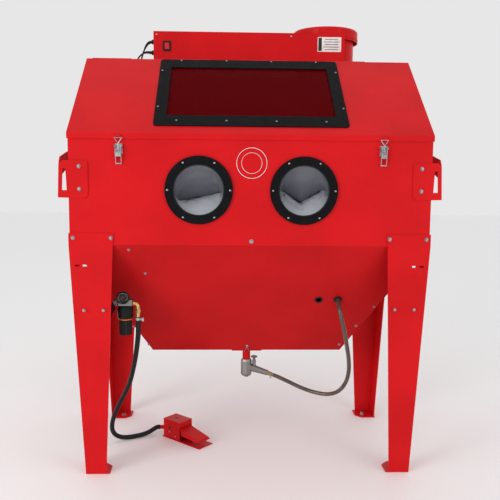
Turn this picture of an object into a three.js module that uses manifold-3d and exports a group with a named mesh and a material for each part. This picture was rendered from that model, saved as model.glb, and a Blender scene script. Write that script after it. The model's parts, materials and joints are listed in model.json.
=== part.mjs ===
// A free-standing sandblast cabinet: a folded sheet chamber with a sloping window lid, glove ports
// and a hopper, on four tapered angle legs, with its dust collector, air regulator, foot pedal
// and media metering valve.
// Millimetres, +Z up, +X to the operator's right, +Y from the operator to the back.
import * as THREE from 'three';
import { ConvexGeometry } from 'three/addons/geometries/ConvexGeometry.js';
import { mergeVertices } from 'three/addons/utils/BufferGeometryUtils.js';
import Module from 'manifold-3d';

const wasm = await Module();
wasm.setup();

// Driving dimensions of the chamber. In this file Y = 0 is the front face of the chamber.
const bodyWidth = 1150;
const bodyDepth = 650;
const sheet = 1.5; // wall of every folded sheet
const gap = 0.3; // clearance left between two pieces that touch
const chamberBottom = 775;
const roofTop = 1400;
const halfWidth = bodyWidth / 2;
const innerHalf = halfWidth - sheet;

// The lid's outer face runs from its front fold up to its hinge edge.
const lidFoldY = -3.3;
const lidFoldZ = 1127;
const lidLength = 444;
const lidHalf = halfWidth + 3.3;
const lidFlangeDrop = 18;
const lidAngle = Math.atan2(281.5, 344);
const rimDepth = 9; // the chamber's sloping rim lies this far under the lid's outer face
const rimWidth = 14;

// Hinge barrel along the lid's back edge, placed in the lid's own frame.
const hingeAlong = 449;
const hingeDepth = 7.5;
const barrelRadius = 4.2;
const pinRadius = 2;
const knuckleCount = 8;
const knuckleSpan = 1120;

// Window and glove ports.
const windowCentreAlong = 240;
const windowFrameSize = [626, 400];
const windowOpeningSize = [548, 293];
const portSpacing = 334;
const portHeight = 951;
const portHoleRadius = 82;

// Hopper, legs and collector.
const hopperBottom = 355;
const hopperFloorHalf = 348;
const hopperFloorFront = 300;
const hopperFloorBack = 350;
const legTop = 813;
const legThickness = 3;
const footInset = 34;
const drumCentre = [340, 790];
const drumRadius = 119;
const collectorTop = 1570;
const collectorFront = bodyDepth + 1;

// The whole object's box is centred on the origin, so the front face lies this far forward of it.
const frontSetback = 457.25;

const red = { color: 0xc41a20, roughness: 0.35, metalness: 0.0 };
const finishes = {
  powder_red: red,
  hopper_red: { color: 0xb0161b, roughness: 0.4, metalness: 0.0 },
  satin_black: { color: 0x15161a, roughness: 0.45, metalness: 0.1 },
  black_plastic: { color: 0x111114, roughness: 0.5, metalness: 0.0 },
  galvanised: { color: 0xa9abad, roughness: 0.35, metalness: 0.9 },
  zinc_cast: { color: 0x8f8c88, roughness: 0.5, metalness: 0.7 },
  glass: { color: 0x3a0608, roughness: 0.05, metalness: 0.0, transparent: true, opacity: 0.5 },
  rubber_black: { color: 0x17171a, roughness: 0.7, metalness: 0.0 },
  glove_rubber: { color: 0x7f878f, roughness: 0.45, metalness: 0.0 },
  hose_clear: { color: 0x8a6f60, roughness: 0.3, metalness: 0.0 },
  lead_black: { color: 0x101012, roughness: 0.55, metalness: 0.0 },
  filter_paper: { color: 0xd8d2c0, roughness: 0.9, metalness: 0.0 },
  lamp_white: { color: 0xe8eaec, roughness: 0.4, metalness: 0.0 },
  red_plastic: { color: 0xd02018, roughness: 0.3, metalness: 0.0 },
};

const group = new THREE.Group();
group.position.y = -frontSetback;

// --- helpers -------------------------------------------------------------------------------------

function part(name, finish, geometry) {
  const mesh = new THREE.Mesh(geometry, new THREE.MeshStandardMaterial(finishes[finish]));
  mesh.name = name;
  group.add(mesh);
  return mesh;
}

function toSolid(geometry) {
  const bare = geometry.clone();
  bare.deleteAttribute('normal');
  bare.deleteAttribute('uv');
  const merged = mergeVertices(bare, 1e-4);
  const positions = new Float32Array(merged.attributes.position.array);
  const triangles = new Uint32Array(merged.index.array);
  return new wasm.Manifold(new wasm.Mesh({ numProp: 3, vertProperties: positions, triVerts: triangles }));
}

function toGeometry(solid) {
  const mesh = solid.getMesh();
  const geometry = new THREE.BufferGeometry();
  geometry.setAttribute('position', new THREE.BufferAttribute(new Float32Array(mesh.vertProperties), 3));
  geometry.setIndex(new THREE.BufferAttribute(new Uint32Array(mesh.triVerts), 1));
  geometry.computeVertexNormals();
  return geometry;
}

function join(...geometries) {
  let solid = toSolid(geometries[0]);
  for (const next of geometries.slice(1)) solid = solid.add(toSolid(next));
  return toGeometry(solid);
}

function cut(base, ...tools) {
  let solid = toSolid(base);
  for (const tool of tools) solid = solid.subtract(toSolid(tool));
  return toGeometry(solid);
}

function box(x0, x1, y0, y1, z0, z1) {
  const geometry = new THREE.BoxGeometry(x1 - x0, y1 - y0, z1 - z0);
  geometry.translate((x0 + x1) / 2, (y0 + y1) / 2, (z0 + z1) / 2);
  return geometry;
}

function hull(points) {
  return new ConvexGeometry(points.map((p) => new THREE.Vector3(...p)));
}

function mirrorX(geometry) {
  const mirrored = geometry.index ? geometry.toNonIndexed() : geometry.clone();
  mirrored.scale(-1, 1, 1);
  const position = mirrored.attributes.position;
  for (let i = 0; i < position.count; i += 3) {
    const [x, y, z] = [position.getX(i), position.getY(i), position.getZ(i)];
    position.setXYZ(i, position.getX(i + 1), position.getY(i + 1), position.getZ(i + 1));
    position.setXYZ(i + 1, x, y, z);
  }
  return mirrored;
}

// A rod from one point to another.
function rod(from, to, radius, sides = 16, endRadius = radius) {
  const start = new THREE.Vector3(...from);
  const end = new THREE.Vector3(...to);
  const along = end.clone().sub(start);
  const geometry = new THREE.CylinderGeometry(endRadius, radius, along.length(), sides);
  const turn = new THREE.Quaternion();
  turn.setFromUnitVectors(new THREE.Vector3(0, 1, 0), along.clone().normalize());
  geometry.applyQuaternion(turn);
  geometry.translate(...start.add(end).multiplyScalar(0.5).toArray());
  return geometry;
}

// A turned piece: profile points are [radius, height] along the axis, which is then laid on a direction.
// The profile is turned anticlockwise, so that its faces point out.
function turned(profile, origin, direction, sides = 32) {
  const points = profile.map((p) => new THREE.Vector2(p[0], p[1]));
  if (THREE.ShapeUtils.isClockWise(points)) points.reverse();
  const geometry = new THREE.LatheGeometry(points, sides);
  const axis = new THREE.Vector3(...direction).normalize();
  geometry.applyQuaternion(new THREE.Quaternion().setFromUnitVectors(new THREE.Vector3(0, 1, 0), axis));
  geometry.translate(...origin);
  return geometry;
}

function tube(outer, inner, length, origin, direction, sides = 32) {
  const wall = [[inner, 0], [outer, 0], [outer, length], [inner, length], [inner, 0]];
  return turned(wall, origin, direction, sides);
}

// An outline through corner points; it runs anticlockwise so that its holes cut.
function outline(points, holes = []) {
  const corners = points.map((p) => new THREE.Vector2(p[0], p[1]));
  if (THREE.ShapeUtils.isClockWise(corners)) corners.reverse();
  const shape = new THREE.Shape(corners);
  shape.holes = holes;
  return shape;
}

function circle(x, y, radius) {
  return new THREE.Path().absarc(x, y, radius, 0, Math.PI * 2, true);
}

// A rectangle with round corners, as an outline (Shape) or as a hole (Path).
function roundRect(Kind, cx, cy, width, height, radius) {
  const [x0, x1] = [cx - width / 2, cx + width / 2];
  const [y0, y1] = [cy - height / 2, cy + height / 2];
  const path = new Kind();
  path.moveTo(x0 + radius, y0);
  path.lineTo(x1 - radius, y0);
  path.absarc(x1 - radius, y0 + radius, radius, -Math.PI / 2, 0, false);
  path.lineTo(x1, y1 - radius);
  path.absarc(x1 - radius, y1 - radius, radius, 0, Math.PI / 2, false);
  path.lineTo(x0 + radius, y1);
  path.absarc(x0 + radius, y1 - radius, radius, Math.PI / 2, Math.PI, false);
  path.lineTo(x0, y0 + radius);
  path.absarc(x0 + radius, y0 + radius, radius, Math.PI, Math.PI * 1.5, false);
  return path;
}

// Flat plates. Each lays an outline on a plane and gives it a thickness.
function plate(shape, thickness, matrix, curveSegments = 16) {
  const geometry = new THREE.ExtrudeGeometry(shape, { depth: thickness, bevelEnabled: false, curveSegments });
  return geometry.applyMatrix4(matrix);
}

// Outline in X and Z, thickness from y back.
function frontPlate(shape, y, thickness, curveSegments) {
  const matrix = new THREE.Matrix4().makeRotationX(Math.PI / 2).setPosition(0, y + thickness, 0);
  return plate(shape, thickness, matrix, curveSegments);
}

// Outline in Y and Z, thickness from x to the right.
function sidePlate(shape, x, thickness) {
  const matrix = new THREE.Matrix4().set(0, 0, 1, x, 1, 0, 0, 0, 0, 1, 0, 0, 0, 0, 0, 1);
  return plate(shape, thickness, matrix);
}

// Outline in X and Y, thickness from z up.
function levelPlate(shape, z, thickness, curveSegments) {
  return plate(shape, thickness, new THREE.Matrix4().makeTranslation(0, 0, z), curveSegments);
}

// The lid's frame: u across, v up the slope from the front fold, w out of the lid's outer face.
const lidCos = Math.cos(lidAngle);
const lidSin = Math.sin(lidAngle);
const lidMatrix = new THREE.Matrix4().set(
  1, 0, 0, 0,
  0, lidCos, -lidSin, lidFoldY,
  0, lidSin, lidCos, lidFoldZ,
  0, 0, 0, 1,
);

function onLid(u, v, w) {
  return new THREE.Vector3(u, v, w).applyMatrix4(lidMatrix).toArray();
}

function lidPlate(shape, w, thickness, curveSegments) {
  const matrix = lidMatrix.clone().multiply(new THREE.Matrix4().makeTranslation(0, 0, w));
  return plate(shape, thickness, matrix, curveSegments);
}

function lidBox(u0, u1, v0, v1, w0, w1) {
  return box(u0, u1, v0, v1, w0, w1).applyMatrix4(lidMatrix);
}

// Height of the line that lies w above the lid's outer face, at depth y.
function lidLineZ(y, w) {
  const [, startY, startZ] = onLid(0, 0, w);
  return startZ + (y - startY) * Math.tan(lidAngle);
}

// A closed body through rings of points, from a pole to a pole.
function ringLoft(firstPole, rings, lastPole) {
  const count = rings[0].length;
  const points = [firstPole, ...rings.flat(), lastPole];
  const indices = [];
  const at = (ring, i) => 1 + ring * count + (i % count);
  for (let i = 0; i < count; i += 1) {
    indices.push(0, at(0, i), at(0, i + 1));
    indices.push(points.length - 1, at(rings.length - 1, i + 1), at(rings.length - 1, i));
    for (let r = 0; r < rings.length - 1; r += 1) {
      indices.push(at(r, i + 1), at(r, i), at(r + 1, i));
      indices.push(at(r + 1, i + 1), at(r, i + 1), at(r + 1, i));
    }
  }
  const geometry = new THREE.BufferGeometry();
  geometry.setAttribute('position', new THREE.Float32BufferAttribute(points.flat(), 3));
  geometry.setIndex(indices);
  return geometry;
}

// A flexible hose or lead: a round section swept along a smooth curve.
function sweep(points, diameter, sides, steps) {
  const curve = new THREE.CatmullRomCurve3(points.map((p) => new THREE.Vector3(...p)), false, 'centripetal');
  const section = new THREE.Shape();
  for (let i = 0; i < sides; i += 1) {
    const angle = (i / sides) * Math.PI * 2;
    const [x, y] = [Math.cos(angle) * diameter / 2, Math.sin(angle) * diameter / 2];
    if (i === 0) section.moveTo(x, y);
    else section.lineTo(x, y);
  }
  return new THREE.ExtrudeGeometry(section, { extrudePath: curve, steps, bevelEnabled: false });
}

// --- chamber -------------------------------------------------------------------------------------

function frontPanel() {
  const top = lidLineZ(0, -rimDepth) - 0.3;
  const holes = [-portSpacing / 2, portSpacing / 2].map((x) => circle(x, portHeight, portHoleRadius));
  const corners = [
    [-halfWidth, chamberBottom], [halfWidth, chamberBottom], [halfWidth, top], [-halfWidth, top],
  ];
  const face = outline(corners, holes);
  const rimHalf = innerHalf - rimWidth - gap;
  const rim = lidBox(-rimHalf, rimHalf, -2.2, 22, -rimDepth - sheet, -rimDepth);
  return join(frontPlate(face, 0, sheet, 16), rim);
}

function sidePanel() {
  const front = sheet + gap;
  const back = bodyDepth - sheet - gap;
  const top = roofTop - sheet - gap;
  const rimStart = lidLineZ(front, -rimDepth);
  const kneeY = front + (top - rimStart) / Math.tan(lidAngle);
  const wall = outline([
    [front, chamberBottom], [back, chamberBottom], [back, top], [kneeY, top], [front, rimStart],
  ]);
  const rim = lidBox(innerHalf - rimWidth, innerHalf + 0.5, 3, 438, -rimDepth - sheet, -rimDepth);
  return join(sidePlate(wall, innerHalf, sheet), rim);
}

const ductHole = { x: drumCentre[0], z: 1250, radius: 46 };

function backPanel() {
  const hole = circle(ductHole.x, ductHole.z, ductHole.radius);
  const top = roofTop - sheet - gap;
  const face = outline(
    [[-halfWidth, chamberBottom], [halfWidth, chamberBottom], [halfWidth, top], [-halfWidth, top]],
    [hole],
  );
  return frontPlate(face, bodyDepth - sheet, sheet, 16);
}

// The hinge barrel's knuckles alternate between the lid and the roof.
const [, hingeY, hingeZ] = onLid(0, hingeAlong, -hingeDepth);

function knuckles(first) {
  const length = knuckleSpan / knuckleCount;
  const pieces = [];
  for (let i = first; i < knuckleCount; i += 2) {
    const start = -knuckleSpan / 2 + i * length + 0.4;
    pieces.push({ start, end: start + length - 0.8 });
  }
  return pieces;
}

function barrel(span) {
  const length = span.end - span.start;
  return tube(barrelRadius, pinRadius + 0.4, length, [span.start, hingeY, hingeZ], [1, 0, 0], 12);
}

function leafTab(span) {
  return box(span.start, span.end, hingeY - 0.4, hingeY + 26, roofTop - 0.2, roofTop + 2.6);
}

function roofPanel() {
  const lipEnd = onLid(0, 441, -rimDepth)[1];
  const skin = box(-halfWidth, halfWidth, lipEnd, bodyDepth, roofTop - sheet, roofTop);
  const lipHalf = innerHalf - rimWidth - gap;
  const lip = lidBox(-lipHalf, lipHalf, 402, 441.6, -rimDepth - sheet, -rimDepth);
  let solid = toSolid(skin).add(toSolid(lip));
  const bore = toSolid(rod([-halfWidth, hingeY, hingeZ], [halfWidth, hingeY, hingeZ], pinRadius + 0.4, 12));
  for (const span of knuckles(1)) {
    solid = solid.add(toSolid(leafTab(span)).subtract(bore)).add(toSolid(barrel(span)));
  }
  return toGeometry(solid);
}

function lidSeal() {
  const [width, [low, high]] = [2 * (innerHalf - 1), [6, 418]];
  const strip = 13;
  const middle = (low + high) / 2;
  const hole = boxHole(0, middle, width - 2 * strip, high - low - 2 * strip);
  const ring = outline([[-width / 2, low], [width / 2, low], [width / 2, high], [-width / 2, high]], [hole]);
  return lidPlate(ring, -rimDepth + gap, rimDepth - sheet - 2 * gap);
}

// A grid of flat bars that rests on the hopper's upper edges: a plate with rows of open cells.
function workGrate() {
  const [left, front, bar] = [-571, 4, 12];
  const [columns, rows, pitchX, pitchY] = [10, 5, 113, 126];
  const [low, high] = [chamberBottom + 0.5, chamberBottom + 3];
  const linesX = [];
  const linesY = [];
  for (let i = 0; i <= columns; i += 1) linesX.push(left + i * pitchX, left + i * pitchX + bar);
  for (let j = 0; j <= rows; j += 1) linesY.push(front + j * pitchY, front + j * pitchY + bar);
  const solid = (i, j) => (
    i >= 0 && j >= 0 && i < linesX.length - 1 && j < linesY.length - 1 && (i % 2 === 0 || j % 2 === 0)
  );
  const positions = [];
  const quad = (a, b, c, d) => positions.push(...a, ...b, ...c, ...a, ...c, ...d);
  for (let i = 0; i < linesX.length - 1; i += 1) {
    for (let j = 0; j < linesY.length - 1; j += 1) {
      if (!solid(i, j)) continue;
      const [x0, x1, y0, y1] = [linesX[i], linesX[i + 1], linesY[j], linesY[j + 1]];
      quad([x0, y0, high], [x1, y0, high], [x1, y1, high], [x0, y1, high]);
      quad([x0, y1, low], [x1, y1, low], [x1, y0, low], [x0, y0, low]);
      if (!solid(i - 1, j)) quad([x0, y1, low], [x0, y0, low], [x0, y0, high], [x0, y1, high]);
      if (!solid(i + 1, j)) quad([x1, y0, low], [x1, y1, low], [x1, y1, high], [x1, y0, high]);
      if (!solid(i, j - 1)) quad([x0, y0, low], [x1, y0, low], [x1, y0, high], [x0, y0, high]);
      if (!solid(i, j + 1)) quad([x1, y1, low], [x0, y1, low], [x0, y1, high], [x1, y1, high]);
    }
  }
  const geometry = new THREE.BufferGeometry();
  geometry.setAttribute('position', new THREE.Float32BufferAttribute(positions, 3));
  return geometry;
}

function boxHole(cx, cy, width, height) {
  const [a, b] = [width / 2, height / 2];
  const corners = [[cx - a, cy - b], [cx - a, cy + b], [cx + a, cy + b], [cx + a, cy - b]];
  return new THREE.Path(corners.map((p) => new THREE.Vector2(...p)));
}

// --- hopper --------------------------------------------------------------------------------------

// Each wall is a straight slope from the chamber's lower edge to the floor strip.
const hopperTopZ = chamberBottom - gap;
const hopperFloorZ = hopperBottom + gap;
const hopperDrop = hopperTopZ - hopperFloorZ;

function slopeOf(top, bottom) {
  const run = Math.abs(bottom - top) / hopperDrop;
  return { top, bottom, wall: sheet * Math.hypot(1, run) };
}

const hopperFrontSlope = slopeOf(sheet, hopperFloorFront);
const hopperBackSlope = slopeOf(bodyDepth - sheet, hopperFloorBack);
const hopperSideSlope = slopeOf(innerHalf - 0.5, hopperFloorHalf);

// Each front or back wall spans the full width; its holes are round, square to the sheet.
function hopperWall(slope, inward) {
  const points = [];
  for (const [z, y, x] of [
    [hopperTopZ, slope.top, hopperSideSlope.top],
    [hopperFloorZ, slope.bottom, hopperSideSlope.bottom],
  ]) {
    for (const side of [-1, 1]) {
      points.push([side * x, y, z], [side * x, y + inward * slope.wall, z]);
    }
  }
  return hull(points);
}

function hopperSide() {
  const points = [];
  for (const [z, x, front, back] of [
    [hopperTopZ, hopperSideSlope.top, hopperFrontSlope.top, hopperBackSlope.top],
    [hopperFloorZ, hopperSideSlope.bottom, hopperFrontSlope.bottom, hopperBackSlope.bottom],
  ]) {
    const y0 = front + hopperFrontSlope.wall + gap;
    const y1 = back - hopperBackSlope.wall - gap;
    for (const y of [y0, y1]) points.push([x, y, z], [x - hopperSideSlope.wall, y, z]);
  }
  return hull(points);
}

// The hopper front's outward direction, and a point on its outer face at a given height.
const hopperFrontRun = (hopperFloorFront - sheet) / hopperDrop;
const hopperOut = new THREE.Vector3(0, -1, -hopperFrontRun).normalize();

function onHopperFront(x, z, out = 0) {
  const y = sheet + (hopperTopZ - z) * hopperFrontRun;
  return [x, y + hopperOut.y * out, z + hopperOut.z * out];
}

const airPortPlace = [242, 573];
const mediaPortPlace = [308, 575];
const hopperPortRadius = 12;

function hopperFront() {
  const tools = [airPortPlace, mediaPortPlace].map(([x, z]) => (
    rod(onHopperFront(x, z, 20), onHopperFront(x, z, -20), hopperPortRadius, 24)
  ));
  return cut(hopperWall(hopperFrontSlope, 1), ...tools);
}

// A grooved rubber ring, open in the middle for the hose that passes through.
function hopperGrommet([x, z], boreRadius) {
  const inside = sheet + gap;
  const profile = [
    [boreRadius, -4.5], [15, -3.5], [15, -inside], [hopperPortRadius - gap, -inside],
    [hopperPortRadius - gap, gap], [15, gap], [15, 3], [boreRadius, 4], [boreRadius, -4.5],
  ];
  return turned(profile, onHopperFront(x, z), hopperOut.toArray(), 24);
}

const outlet = { x: 0, y: 325, stubRadius: 14.5, stubBottom: 313.3 };

// The floor strip carries the outlet: a welded pad and a short pipe that the metering valve clamps on.
function hopperFloor() {
  const strip = outline(
    [[-hopperFloorHalf, hopperFloorFront], [hopperFloorHalf, hopperFloorFront],
      [hopperFloorHalf, hopperFloorBack], [-hopperFloorHalf, hopperFloorBack]],
    [circle(outlet.x, outlet.y, outlet.stubRadius - 2)],
  );
  const flangeTop = hopperBottom - sheet + 0.1;
  const flange = outline(
    [[-55, 302], [55, 302], [55, 348], [-55, 348]].map(([x, y]) => [x + outlet.x, y]),
    [circle(outlet.x, outlet.y, outlet.stubRadius - 2)],
  );
  const length = flangeTop - outlet.stubBottom;
  const pipeEnd = [outlet.x, outlet.y, outlet.stubBottom];
  const pipe = tube(outlet.stubRadius, outlet.stubRadius - 2, length, pipeEnd, [0, 0, 1], 28);
  return join(levelPlate(strip, hopperBottom - sheet, sheet), levelPlate(flange, flangeTop - 4, 4), pipe);
}

// --- stand ---------------------------------------------------------------------------------------

// A tapered angle leg for the front right corner, with its foot plate. Two mirrors make the other three.
function legShape() {
  const face = halfWidth + gap;
  const levels = [
    { z: legTop, inset: 0, width: 143 },
    { z: chamberBottom - 1, inset: 0, width: 139 },
    { z: 0, inset: footInset, width: 68 },
  ];
  const sections = levels.map(({ z, inset, width }) => {
    const [x, y] = [face + legThickness - inset, -gap - legThickness + inset];
    const t = legThickness;
    return [[x, y], [x, y + width], [x - t, y + width], [x - t, y + t], [x - width, y + t], [x - width, y]]
      .map((p) => [...p, z]);
  });
  const points = sections.flat();
  const contour = sections[0].map((p) => new THREE.Vector2(p[0], p[1]));
  const caps = THREE.ShapeUtils.triangulateShape(contour, []);
  const count = contour.length;
  const indices = [];
  for (const [a, b, c] of caps) {
    indices.push(a, b, c);
    const low = points.length - count;
    indices.push(low + c, low + b, low + a);
  }
  for (let level = 0; level < sections.length - 1; level += 1) {
    for (let i = 0; i < count; i += 1) {
      const [a, b] = [level * count + i, level * count + (i + 1) % count];
      indices.push(a, a + count, b, b, a + count, b + count);
    }
  }
  const geometry = new THREE.BufferGeometry();
  geometry.setAttribute('position', new THREE.Float32BufferAttribute(points.flat(), 3));
  geometry.setIndex(indices);
  const x = face + legThickness - footInset;
  const y = -gap - legThickness + footInset;
  const foot = outline(
    [[x - 79, y], [x, y], [x, y + 79], [x - 56, y + 79], [x - 79, y + 56]],
    [circle(x - 46, y + 46, 6)],
  );
  const slotHeight = 709;
  const slots = [553, 529].map((sx) => box(sx - 7, sx + 7, -20, 30, slotHeight - 3, slotHeight + 3));
  return cut(join(geometry, levelPlate(foot, 0, 4)), ...slots);
}

function mirrorY(geometry) {
  const mirrored = mirrorX(geometry);
  mirrored.scale(-1, -1, 1);
  mirrored.translate(0, bodyDepth, 0);
  return mirrored;
}

// A bent plate bolted to the front face beside the edge, with a hand hole and an arm folded back.
function sideHandle() {
  const back = -legThickness - gap;
  const face = outline(
    [[514, 1040], [592, 1042], [604, 1030], [608, 925], [524, 923], [514, 934]],
    [new THREE.Path([[583, 1016], [592, 1016], [595, 948], [580, 948]].map((p) => new THREE.Vector2(...p)))],
  );
  const arm = outline([
    [back, 988], [back, 1034], [8, 1052], [112, 1072], [118, 1064], [118, 1032], [108, 1020],
  ]);
  return join(frontPlate(face, back, legThickness), sidePlate(arm, 600.5, legThickness));
}

// --- glove ports ---------------------------------------------------------------------------------

const flangeFace = -gap - 1.2;

function portRing(x) {
  const back = flangeFace - gap;
  const profile = [[81.5, 0], [108.5, 0], [107.5, 6], [82.5, 6], [81.5, 0]];
  return turned(profile, [x, back, portHeight], [0, -1, 0], 40);
}

// A rubber sleeve that leaves the port level, droops to the grate and ends in a closed hand.
function glove(x) {
  const centres = [
    [-gap, 0], [12, 0], [60, -2], [110, -8], [165, -24], [215, -50], [262, -80], [315, -101], [362, -108],
  ];
  const radii = [80.5, 80.5, 79, 76, 71, 64, 57, 52, 42];
  const flangeRadius = 100;
  const wall = 3;
  const sides = 20;
  const ring = (index, radius) => {
    const here = centres[index];
    const before = centres[Math.max(index - 1, 0)];
    const after = centres[Math.min(index + 1, centres.length - 1)];
    const tilt = index < 2 ? 0 : Math.atan2(after[1] - before[1], after[0] - before[0]);
    return Array.from({ length: sides }, (_, i) => {
      const angle = (i / sides) * Math.PI * 2;
      const up = Math.sin(angle) * radius;
      const y = here[0] - up * Math.sin(tilt);
      const z = portHeight + here[1] + up * Math.cos(tilt);
      return [x + Math.cos(angle) * radius, y, z];
    });
  };
  const last = centres.length - 1;
  const inner = radii.map((r, i) => ring(i, r - wall)).reverse();
  const ontoFlangeFace = (points) => points.map(([px, , pz]) => [px, flangeFace, pz]);
  const rim = [ontoFlangeFace(ring(0, radii[0] - wall)), ontoFlangeFace(ring(0, flangeRadius))];
  const outer = radii.map((r, i) => ring(i, r));
  const flangeBack = ring(0, flangeRadius);
  const rings = [...inner, ...rim, flangeBack, ...outer];
  const tip = [x, centres[last][0], portHeight + centres[last][1]];
  return ringLoft([tip[0], tip[1] + 12, tip[2] - 2], rings, [tip[0], tip[1] + 20, tip[2] - 3]);
}

// --- latches -------------------------------------------------------------------------------------

const latchX = 417;
const leverPivot = { y: -10, z: 1086 };
const bailPivot = { y: -10, z: 1076 };

function latchBase(x) {
  const back = -gap;
  const foot = box(x - 12, x + 12, back - 1.5, back, 1062, 1094);
  const pieces = [foot];
  for (const side of [-1, 1]) {
    const ear = outline([[back - 1, 1078], [back - 1, 1093], [-13, 1090], [-13, 1082]]);
    const ears = sidePlate(ear, x + side * 11 - 0.6, 1.2);
    const { y, z } = leverPivot;
    const hole = rod([x + side * 14, y, z], [x + side * 8, y, z], 2.1, 10);
    pieces.push(cut(ears, hole));
  }
  return join(...pieces);
}

// The lever is an open frame with two pivot studs, a bridge below the bail's barrel and a bottom bar.
function latchLever(x) {
  const pieces = [];
  for (const side of [-1, 1]) {
    const rail = outline([
      [-13, 1090], [-7.5, 1090], [-6.5, 1070], [-4.2, 1031], [-6.2, 1030], [-12.5, 1056], [-13, 1070],
    ]);
    const cheek = sidePlate(rail, x + side * 8.6 - 0.8, 1.6);
    const { y: bailY, z: bailZ } = bailPivot;
    const seat = rod([x + side * 11, bailY, bailZ], [x + side * 6, bailY, bailZ], 1.8, 10);
    pieces.push(cut(cheek, seat));
    const { y: pivotY, z: pivotZ } = leverPivot;
    pieces.push(rod([x + side * 8.4, pivotY, pivotZ], [x + side * 12.6, pivotY, pivotZ], 1.7, 10));
  }
  pieces.push(box(x - 9, x + 9, -12.4, -10.6, 1054, 1066));
  pieces.push(box(x - 9, x + 9, -6.2, -4.4, 1030.6, 1034));
  return join(...pieces);
}

// A triangle of wire on a stem, which ends in a cross barrel carried by the lever.
function latchBail(x) {
  const wire = 1.25;
  const wireSides = 7;
  const [barZ, neckZ] = [1112, 1094];
  const y = bailPivot.y - 0.8;
  const corners = [[x - 12, y, barZ], [x + 12, y, barZ], [x, y, neckZ]];
  const pieces = [];
  for (let i = 0; i < 3; i += 1) {
    pieces.push(rod(corners[i], corners[(i + 1) % 3], wire, wireSides));
    pieces.push(new THREE.SphereGeometry(wire * 1.04, wireSides, 5).translate(...corners[i]));
  }
  pieces.push(rod([x, bailPivot.y, bailPivot.z], [x, y, neckZ], 1.5, 8));
  pieces.push(rod([x - 9.2, bailPivot.y, bailPivot.z], [x + 9.2, bailPivot.y, bailPivot.z], 1.4, 10));
  pieces.push(rod([x - 4, bailPivot.y, bailPivot.z], [x + 4, bailPivot.y, bailPivot.z], 3, 12));
  return join(...pieces);
}

// --- lid -----------------------------------------------------------------------------------------

function lidPanel() {
  const [openU, openV] = windowOpeningSize;
  const hole = roundRect(THREE.Path, 0, windowCentreAlong, openU + 10, openV + 10, 10);
  const skin = outline([[-lidHalf, 0], [lidHalf, 0], [lidHalf, lidLength], [-lidHalf, lidLength]], [hole]);
  const pieces = [lidPlate(skin, -sheet, sheet, 3)];
  const flangeBottom = lidFoldZ - lidFlangeDrop;
  pieces.push(box(-lidHalf, lidHalf, lidFoldY, lidFoldY + sheet, flangeBottom, lidFoldZ));
  const [, backY, backZ] = onLid(0, lidLength, 0);
  const [, backLowY, backLowZ] = onLid(0, lidLength, -14);
  const [, frontLowY, frontLowZ] = onLid(0, 0, -14);
  const wing = outline([
    [lidFoldY, lidFoldZ], [lidFoldY, flangeBottom], [frontLowY, frontLowZ],
    [backLowY, backLowZ], [backY, backZ],
  ]);
  pieces.push(sidePlate(wing, lidHalf - sheet, sheet), sidePlate(wing, -lidHalf, sheet));
  for (const x of [-latchX, latchX]) pieces.push(catchLip(x));
  let solid = toSolid(pieces[0]);
  for (const piece of pieces.slice(1)) solid = solid.add(toSolid(piece));
  const bore = toSolid(rod([-halfWidth, hingeY, hingeZ], [halfWidth, hingeY, hingeZ], pinRadius + 0.4, 12));
  for (const span of knuckles(0)) {
    const strip = lidBox(span.start, span.end, hingeAlong - 26, hingeAlong + 1, -4.6, -1.2);
    const tab = toSolid(strip).subtract(bore);
    solid = solid.add(tab).add(toSolid(barrel(span)));
  }
  for (const u of [540, 556]) solid = solid.add(toSolid(propEar(u)));
  return toGeometry(solid);
}

// The lip that a bail hooks over: a small shelf with a turned-up edge.
function catchLip(x) {
  const lip = outline([
    [lidFoldY + 0.5, 1115.5], [-13, 1115.5], [-13, 1122], [-11, 1122], [-11, 1118], [lidFoldY + 0.5, 1118],
  ]);
  return sidePlate(lip, x - 6, 12);
}

// The lid prop swings between two ears under the lid, near its front right corner.
const propPivot = { v: 60, w: -17 };

function propEar(u) {
  const ear = lidBox(u - 1, u + 1, propPivot.v - 7, propPivot.v + 7, propPivot.w - 6, -1);
  const [, y, z] = onLid(0, propPivot.v, propPivot.w);
  return cut(ear, rod([u - 3, y, z], [u + 3, y, z], 3.4, 16));
}

function lidProp() {
  const from = onLid(0, propPivot.v, propPivot.w);
  const to = onLid(0, 390, propPivot.w);
  const bar = rod([548, from[1], from[2]], [548, to[1], to[2]], 4, 14);
  const axle = rod([537, from[1], from[2]], [559, from[1], from[2]], 3, 14);
  const tip = new THREE.SphereGeometry(5.5, 10, 7).translate(548, to[1], to[2]);
  return join(bar, axle, tip);
}

function windowFrame() {
  const [width, height] = windowFrameSize;
  const [openU, openV] = windowOpeningSize;
  const shape = roundRect(THREE.Shape, 0, windowCentreAlong - 2, width, height, 12);
  shape.holes = [roundRect(THREE.Path, 0, windowCentreAlong, openU, openV, 5)];
  return lidPlate(shape, gap, 3.5, 3);
}

function windowPane() {
  const [openU, openV] = windowOpeningSize;
  const shape = roundRect(THREE.Shape, 0, windowCentreAlong, openU + 34, openV + 34, 6);
  return lidPlate(shape, -sheet - gap - 5, 5, 2);
}

// --- dust collector ------------------------------------------------------------------------------

const collector = { left: -373, right: 195, back: 905, bottom: 1330, fasciaRight: 400 };
const switchPlace = [-319, 1512];
const glandPlaces = { lamp: [700, 1536], mains: [700, 1493] };
const drumTop = 1566;
const sideDuctZ = 1460;

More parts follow.
